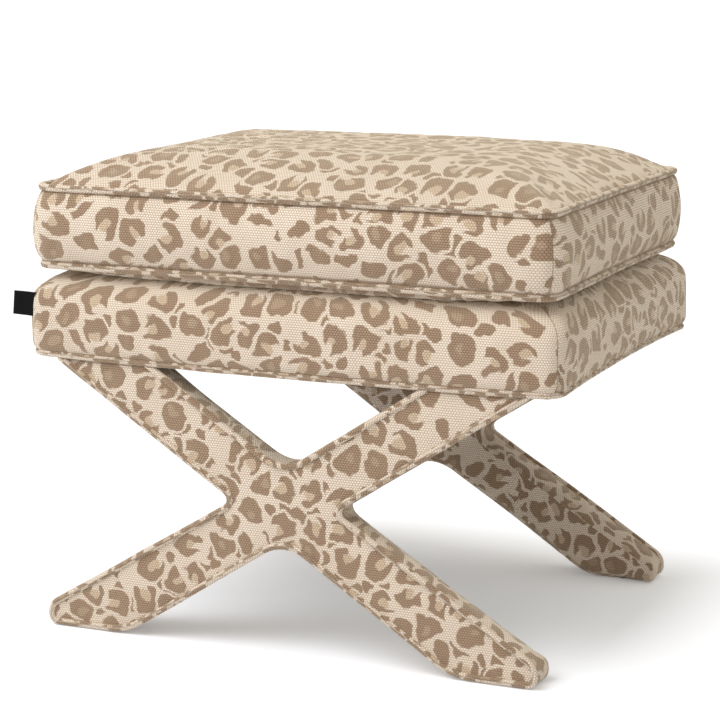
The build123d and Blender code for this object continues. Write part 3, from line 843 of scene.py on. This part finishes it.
def x_frame(end, facing, cut):
    """One padded X frame: its cover, soft at the inner edge, and the piping of its outer edge.

    Its cloth is cut that far along, in metres, from where the cloth starts.
    """
    outer_low, outer_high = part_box(f"{end}_leg_outer_panel")
    inner_low, inner_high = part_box(f"{end}_leg_inner_panel")
    outer_y = outer_low.y if facing < 0 else outer_high.y
    inner_y = inner_high.y if facing < 0 else inner_low.y
    depth = abs(inner_y - outer_y)
    rows = [(0.0, (depth - edge_radius) * row / band_rows) for row in range(band_rows)]
    for row in range(edge_rows + 1):
        turn = pi / 2 * row / edge_rows
        rows.append((edge_radius * (1 - cos(turn)), depth - edge_radius * (1 - sin(turn))))
    points, panels = [], []
    for row, (inset, back) in enumerate(rows):
        ring = leg_path + inset * inward + toe_trim * toe_share * back / depth
        ring = ring - 1j * sole_drop * sole_share * min(1, back / sole_drop_run)
        points += [(p.real, outer_y - facing * back, p.imag) for p in ring]
        if row:
            faces = ring_faces(leg_count, row * leg_count, (row - 1) * leg_count)
            low, high = [rows[r][0] + rows[r][1] for r in (row, row - 1)]
            panels.append((faces, strip_places(leg_count, [0], leg_lengths + cut, low, high)))
    inner_first = len(points) - leg_count
    for outline, level, first, turn in ((leg_path, outer_y, 0, 1), (ring, inner_y, inner_first, -1)):
        start = len(points) - leg_count
        flat, faces = filled(outline, leg_face_spacing)
        points += [(p.real, level, p.imag) for p in flat[leg_count:]]
        faces = [[k + (first if k < leg_count else start) for k in face][::turn] for face in faces]
        places = [[(points[k][0] + cut + turn, points[k][2]) for k in face] for face in faces]
        panels.append((faces, places))
    if facing > 0:
        panels = [([f[::-1] for f in faces], [p[::-1] for p in places]) for faces, places in panels]
    cover = sewn_mesh(f"{end}_leg_cover", points, panels)
    at = np.array(points)
    back = abs(at[:, 1] - outer_y)
    seam_gap = np.where(back < 1e-6, edge_distance(at[:, 0] + 1j * at[:, 2], leg_path), back)
    seam_distance(cover, np.maximum(0, seam_gap - leg_welt_radius))
    stuffed(cover, (seam_gap < 1e-5) | (at[:, 2] > leg_top - 1e-5), pressure=5.0, cap=0.0028)
    refined(cover)
    puckered(cover, leg_path, (0, 2), reach=0.016, height=0.0012, wave=0.014)
    rested = mesh_points(cover)
    rested[:, 2] = np.maximum(rested[:, 2], sole_low)
    set_points(cover, rested)
    cover.data.materials.append(cover_cloth)
    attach(cover, "base")
    covered = ("padding", "edge_band", "outer_panel", "inner_panel")
    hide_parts(*[f"{end}_leg_{part}" for part in covered])

    right_outer, right_inner, _, left_inner, left_outer = leg_marks[5:10]
    upper = leg_path[right_inner:left_inner + 1]
    lower = np.concatenate([leg_path[left_outer:], leg_path[:right_outer + 1]])
    runs = [([(p.real, outer_y, p.imag) for p in run], False) for run in (upper, lower)]
    piping = piped(f"{end}_leg_piping", runs, leg_welt_radius)
    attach(piping, "base")
    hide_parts(f"{end}_leg_outer_welt")


x_frame("front", facing=-1, cut=3.3)
x_frame("back", facing=1, cut=5.1)

# Hanger bolts
# Zinc-plated bolts screwed into the arms of the X frames, drawn up through the rails by washers and nuts.

zinc = metal("zinc_plate", colour(150, 152, 156), colour(205, 206, 208), 0.28)
dress(zinc, "zinc_steel", "leg_bolts", "leg_washers", "leg_nuts")

# Foot glides
# Round nylon glides nailed up through the cover into the feet.

glide_nylon, tone = new_material("glide_nylon")
place = tone.node("TexCoord", {}, output="Object")
scuff = place.clouds(420.0, 5.0)
wear = tone.node("SeparateXYZ", {0: place}).beside(2)
wear_height = 0.0012
worn = (1 - wear / wear_height).limited() * scuff
surface(tone, {
    "Base Color": worn.between(colour(58, 50, 44), colour(118, 106, 94)),
    "Roughness": 0.4 + 0.35 * scuff,
}, bump=(0.2, 0.0003, scuff))
dress(glide_nylon, "glide_plastic", "foot_glides")

# Cushion
# A loose foam cushion wrapped in fibre, in a boxed cover sewn from crowned top and bottom panels and
# four boxing strips. Its filling pulls the cloth tight, and its underside lies on the deck of the base.

top_low, top_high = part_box("cushion_top_panel")
bottom_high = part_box("cushion_bottom_panel")[1]
zip_low, zip_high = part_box("zip_tape")
zip_middle = (zip_low.z + zip_high.z) / 2
side_fullness, seam_sink, crown_loss, crown_run = 0.003, 0.002, 0.006, 0.165
cushion_x, cushion_y, cushion_shift = top_high.x + side_fullness, top_high.y, -0.003
top_seam, bottom_seam = top_low.z, bottom_high.z - seam_sink
crown = top_high.z - top_low.z - crown_loss
bulge, bulge_run, bulge_loss, under_gap = 0.0130, 0.008, 0.75, 0.0008
swell, zip_swell, side_draw = 0.0120, 0.006, 0.002
cushion_corner, cushion_spacing, boxing_rows, cushion_welt_radius = 0.019, 0.007, 14, 0.0038
zip_back, zip_strip, zip_sink, rest_gap = 0.97, 0.012, 0.0011, 0.0004
boxing_cut, top_cut, bottom_cut = 7.7, 9.1, 11.3


def cushion_ring(out, plan=None):
    """A level outline of the cushion let out from its seam, drawn in a little between the corners."""
    corners = box_corners(cushion_x + out, cushion_y + out, cushion_corner + 0.7 * out)
    ring, marks, plan = rounded_path(corners, cushion_spacing, plan)
    along_x, along_y = ring.real / cushion_x, ring.imag / cushion_y
    pull_x = side_draw * np.maximum(0, 1 - along_y**2) * along_x**9
    pull_y = side_draw * np.maximum(0, 1 - along_x**2) * along_y**9
    flattened = np.minimum(0, zip_swell - out) * np.clip(along_y, 0, 1) ** 12
    return ring - pull_x - 1j * pull_y + 1j * flattened + cushion_shift, marks, plan


def dome(points, rise, run):
    """Heights over a seam: steep beside it, nearly level in the middle, and softly rounded at the corners."""
    def slope(gap):
        return np.clip(1 - gap / run, 0, 1) ** 4

    across, deep = slope(cushion_x - abs(points.real - cushion_shift)), slope(cushion_y - abs(points.imag))
    return rise * np.maximum(0, 1 - (across**4 + deep**4) ** 0.25)


def by_zip(at):
    """Which points lie in the strip of the back that the zip is sewn to."""
    return (at[:, 1] > zip_back * cushion_y) & (abs(at[:, 2] - zip_middle) < zip_strip)


base_surface = BVHTree.FromObject(seat_base, bpy.context.evaluated_depsgraph_get())


def on_base(points):
    """The heights of the seat base under points of the cushion."""
    hits = [base_surface.ray_cast(Vector((p.real, p.imag, 1.0)), Vector((0, 0, -1)))[0] for p in points]
    return np.array([hit.z if hit else base_bottom for hit in hits])


seam_ring, cushion_marks, cushion_plan = cushion_ring(0.0)
count = len(seam_ring)
cushion_lengths = run_length(seam_ring) + boxing_cut
cushion_points, cushion_panels = [], []
for row in range(boxing_rows + 1):
    share = (1 - cos(pi * row / boxing_rows)) / 2
    height = bottom_seam + share * (top_seam - bottom_seam)
    ring = cushion_ring(swell * sin(pi * share**0.85) ** 0.6, cushion_plan)[0]
    cushion_points += [(p.real, p.imag, height) for p in ring]
    if row:
        faces = ring_faces(count, (row - 1) * count, row * count)
        low, high = cushion_points[-count - 1][2], height
        cushion_panels.append((faces, strip_places(count, cushion_marks, cushion_lengths, low, high)))
boxing_count = len(cushion_points)
top_first = boxing_count - count
cushion_points, top_faces = with_panel(cushion_points, seam_ring, top_first, top_seam, cushion_spacing)
top_count = len(cushion_points)
cushion_points, bottom_faces = with_panel(cushion_points, seam_ring, 0, bottom_seam, cushion_spacing)
bottom_faces = [face[::-1] for face in bottom_faces]
cushion_panels.append((top_faces, plan_places(cushion_points, top_faces, top_cut)))
cushion_at = np.array(cushion_points)
plan_at = cushion_at[:, 0] + 1j * cushion_at[:, 1]
upper, lower = slice(boxing_count, top_count), slice(top_count, None)
cushion_at[upper, 2] += dome(plan_at[upper], crown, crown_run)
steep = np.clip(1 - edge_distance(plan_at[lower], seam_ring) / bulge_run, 0, 1)
from_middle = np.minimum(1, abs(plan_at[lower].real - cushion_shift) / cushion_x)
bulged = bottom_seam - bulge * (1 - bulge_loss * from_middle**3) * np.sqrt(1 - steep**2)
cushion_at[lower, 2] = np.maximum(bulged, on_base(plan_at[lower]) + under_gap)

# The underside's cloth is let out where it rises to the seam
rise = cushion_at[:, 2] - cushion_at[lower, 2].min()
side_gaps = ((cushion_x, cushion_at[:, 0] - cushion_shift), (cushion_y, cushion_at[:, 1]))
under_places = cushion_at.copy()
for axis, (half, place) in enumerate(side_gaps):
    under_places[:, axis] += np.sign(place) * rise * np.clip(1 - (half - abs(place)) / (2 * bulge_run), 0, 1)
cushion_panels.append((bottom_faces, plan_places(under_places, bottom_faces, bottom_cut)))
cushion = sewn_mesh("cushion", cushion_at, cushion_panels)

seam_gap = np.minimum(abs(cushion_at[:, 2] - top_seam), abs(cushion_at[:, 2] - bottom_seam))
seam_gap[boxing_count:] = edge_distance(plan_at[boxing_count:], seam_ring)
seam_gap = np.maximum(0, seam_gap - cushion_welt_radius)
corner_gap = corner_seam_gap(cushion_at[:boxing_count], count, cushion_marks)
seam_gap[:boxing_count] = np.minimum(seam_gap[:boxing_count], corner_gap)
seam_distance(cushion, np.minimum(seam_gap, seam_reach))
on_seam = np.zeros(len(cushion_at), bool)
on_seam[:count] = on_seam[top_first:boxing_count] = True
resting = np.arange(len(cushion_at)) >= top_count
stuffed(cushion, on_seam | by_zip(cushion_at) | resting, pressure=4.0, cap=0.005)
refined(cushion)
creased(cushion, depth=0.0008, width=0.003)
puckered(cushion, seam_ring, (0, 1), reach=0.03, height=0.0016, wave=0.014)
settled = mesh_points(cushion)
beneath = settled[:, 2] < bottom_seam
laid = on_base(settled[beneath, 0] + 1j * settled[beneath, 1]) + rest_gap
settled[beneath, 2] = np.maximum(settled[beneath, 2], laid)
under_zip, slider_face = by_zip(settled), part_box("zip_slider")[0].y
settled[under_zip, 1] = np.minimum(settled[under_zip, 1], slider_face - zip_sink)
set_points(cushion, settled)
cushion.data.materials.append(cover_cloth)
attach(cushion, "cushion")
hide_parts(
    "cushion_foam", "cushion_top_filling", "cushion_bottom_filling", "cushion_top_panel",
    "cushion_bottom_panel", "cushion_front_boxing", "cushion_right_boxing", "cushion_left_boxing",
    "cushion_back_upper_boxing", "cushion_back_lower_boxing",
)

# Cushion piping
# The same covered cord, sewn into the seam round the top panel and round the bottom panel.

welt_out, welt_rise = 0.0016, 0.0006
for end, height in (("top", top_seam + welt_rise), ("bottom", bottom_seam - welt_rise)):
    run = [(p.real, p.imag, height) for p in started_at_back(cushion_ring(welt_out, cushion_plan)[0])]
    piping = piped(f"cushion_{end}_piping", [(run, True)], cushion_welt_radius, sway=0.0008)
    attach(piping, "cushion")
    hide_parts(f"cushion_{end}_welt")

# Zip
# A coil zip sewn between the two halves of the back boxing, with a metal slider at its closed end.

cushion_surface = BVHTree.FromObject(cushion, bpy.context.evaluated_depsgraph_get())


def back_of_cushion(x, z):
    """Where the back of the cushion is at one place across and up."""
    return cushion_surface.ray_cast(Vector((x, 1.0, z)), Vector((0, -1, 0)))[0].y


tape_cloth, tone = new_material("zip_tape_weave")
place = tone.node("UVMap", {}, {"uv_map": "cloth"})
along = tone.node("SeparateXYZ", {0: place})
from_coil = abs(along.beside(1))
ribs = 0.5 + 0.5 * ((along / 0.0009 + from_coil / 0.0012) * 2 * pi).math("SINE")
surface(tone, {
    "Base Color": ribs.between(colour(176, 152, 124), colour(214, 194, 166)),
    "Roughness": 0.8 + 0.1 * ribs,
}, bump=(0.5, 0.0004, ribs))
tape_columns, tape_rows, tape_lift = 90, 6, 0.0005
tape_length, tape_width = zip_high.x - zip_low.x, zip_high.z - zip_low.z
tape_points = []
for column in range(tape_columns + 1):
    x = zip_low.x + tape_length * column / tape_columns
    for row in range(tape_rows + 1):
        z = zip_low.z + tape_width * row / tape_rows
        tape_points.append((x, back_of_cushion(x, z) + tape_lift, z))
tape_faces = grid_faces(tape_columns, tape_rows)
tape_places = [[(tape_points[k][0], tape_points[k][2] - zip_middle) for k in face] for face in tape_faces]
zip_tape_strip = sewn_mesh("zip_tape_strip", tape_points, [(tape_faces, tape_places)])
zip_tape_strip.data.materials.append(tape_cloth)
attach(zip_tape_strip, "cushion")
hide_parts("zip_tape")

coil_lift, tooth_spacing, tooth_size = 0.0006, 0.0016, (0.0012, 0.0042, 0.0009)
coil_points = [(x, y + coil_lift, zip_middle) for x, y, _ in tape_points[tape_rows // 2::tape_rows + 1]]
zip_coil = meshed("zip_coil", coil_points, [(k, k + 1) for k in range(tape_columns)])
coil_nylon, tone = new_material("zip_coil_nylon")
place = tone.node("TexCoord", {}, output="Object")
mottle = place.clouds(600.0, 3.0)
surface(tone, {
    "Base Color": mottle.between(colour(168, 142, 112), colour(206, 182, 152)),
    "Roughness": 0.35 + 0.2 * mottle,
})
with_nodes(zip_coil, staple_nodes, Spacing=tooth_spacing, Crown=tooth_size, Wire=coil_nylon)
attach(zip_coil, "cushion")
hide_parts("zip_chain")

nickel = metal("zip_slider_nickel", colour(150, 146, 138), colour(206, 202, 194), 0.25)
dress(nickel, "zip_metal", "zip_slider")

# Stage
# A pale studio floor that keeps the shadow and runs out to white, a large soft lamp to the front
# left, an even sky, and the camera at the place and angle of the photograph.

floor_half, shadow_half, shadow_margin, shadow_fade = 30.0, (0.28, 0.22, 0.0), 0.015, 0.17
floor_glow = 0.17
floor = meshed("floor", level_corners(floor_half, floor_half, 0), [], [(0, 1, 2, 3)])


def seen_by_camera(tone):
    """One on what the camera sees, straight, in a mirror or through glass, and nought elsewhere."""
    ray = tone.node("LightPath", {}, output="Is Camera Ray")
    return (ray + ray.beside("Is Glossy Ray") + ray.beside("Is Transmission Ray")).limited()


floor_material, tone = new_material("studio_floor")
place = tone.node("TexCoord", {}, output="Object")
away = place.vector("ABSOLUTE").vector("SUBTRACT", shadow_half).vector("MAXIMUM", (0.0, 0.0, 0.0))
away = away.vector("LENGTH").beside(1)
seen = seen_by_camera(tone)
outside = ((away - shadow_margin) / shadow_fade).limited()
paper = tone.node("BsdfDiffuse", {"Color": colour(246, 248, 254)})
white = tone.node("Emission", {"Color": (1, 1, 1, 1), "Strength": 1.0})
faded = tone.node("MixShader", {0: seen * outside, 1: paper, 2: white})
glow = tone.node("Emission", {"Color": (1, 1, 1, 1), "Strength": floor_glow})
still = tone.node("MixShader", {0: seen, 1: tone.node("Emission", {"Strength": 0.0}), 2: glow})
lit = tone.node("AddShader", {0: faded, 1: still})
below = tone.node("NewGeometry", {}, output="Backfacing")
one_sided = tone.node("MixShader", {0: below, 1: lit, 2: tone.node("BsdfTransparent", {})})
tone.node("OutputMaterial", {"Surface": one_sided})
floor.data.materials.append(floor_material)

world = bpy.data.worlds.new("studio")
bpy.context.scene.world = world
world.use_nodes = True
world.node_tree.nodes.clear()
sky = Tone(world.node_tree)
even = sky.node("Background", {"Color": (1.0, 0.969, 0.88, 1), "Strength": 0.70})
white = sky.node("Background", {"Color": (1, 1, 1, 1), "Strength": 1.0})
sky.node("OutputWorld", {"Surface": sky.node("MixShader", {0: seen_by_camera(sky), 1: even, 2: white})})

lamp_place, lamp_aim = Vector((-1.15, -1.6, 2.7)), Vector((0.0, 0.0, 0.28))
soft_light = bpy.data.lights.new("key_lamp", "AREA")
soft_light.size, soft_light.energy, soft_light.color = 2.5, 76.0, (0.99, 0.99, 1.0)
key_lamp = added("key_lamp", soft_light)
key_lamp.location = lamp_place
key_lamp.rotation_euler = (lamp_aim - lamp_place).to_track_quat("-Z", "Y").to_euler()

lens, sensor = 116.65, 36.0
yaw, pitch = radians(23.54), radians(10.99)
camera = added("camera", bpy.data.cameras.new("camera"))
camera.data.lens, camera.data.sensor_width = lens, sensor
camera.location = (1.0136, -2.3527, 0.7752)
camera.rotation_euler = (pi / 2 - pitch, 0.0, yaw)
bpy.context.scene.camera = camera
bpy.context.scene.view_settings.view_transform = "Standard"
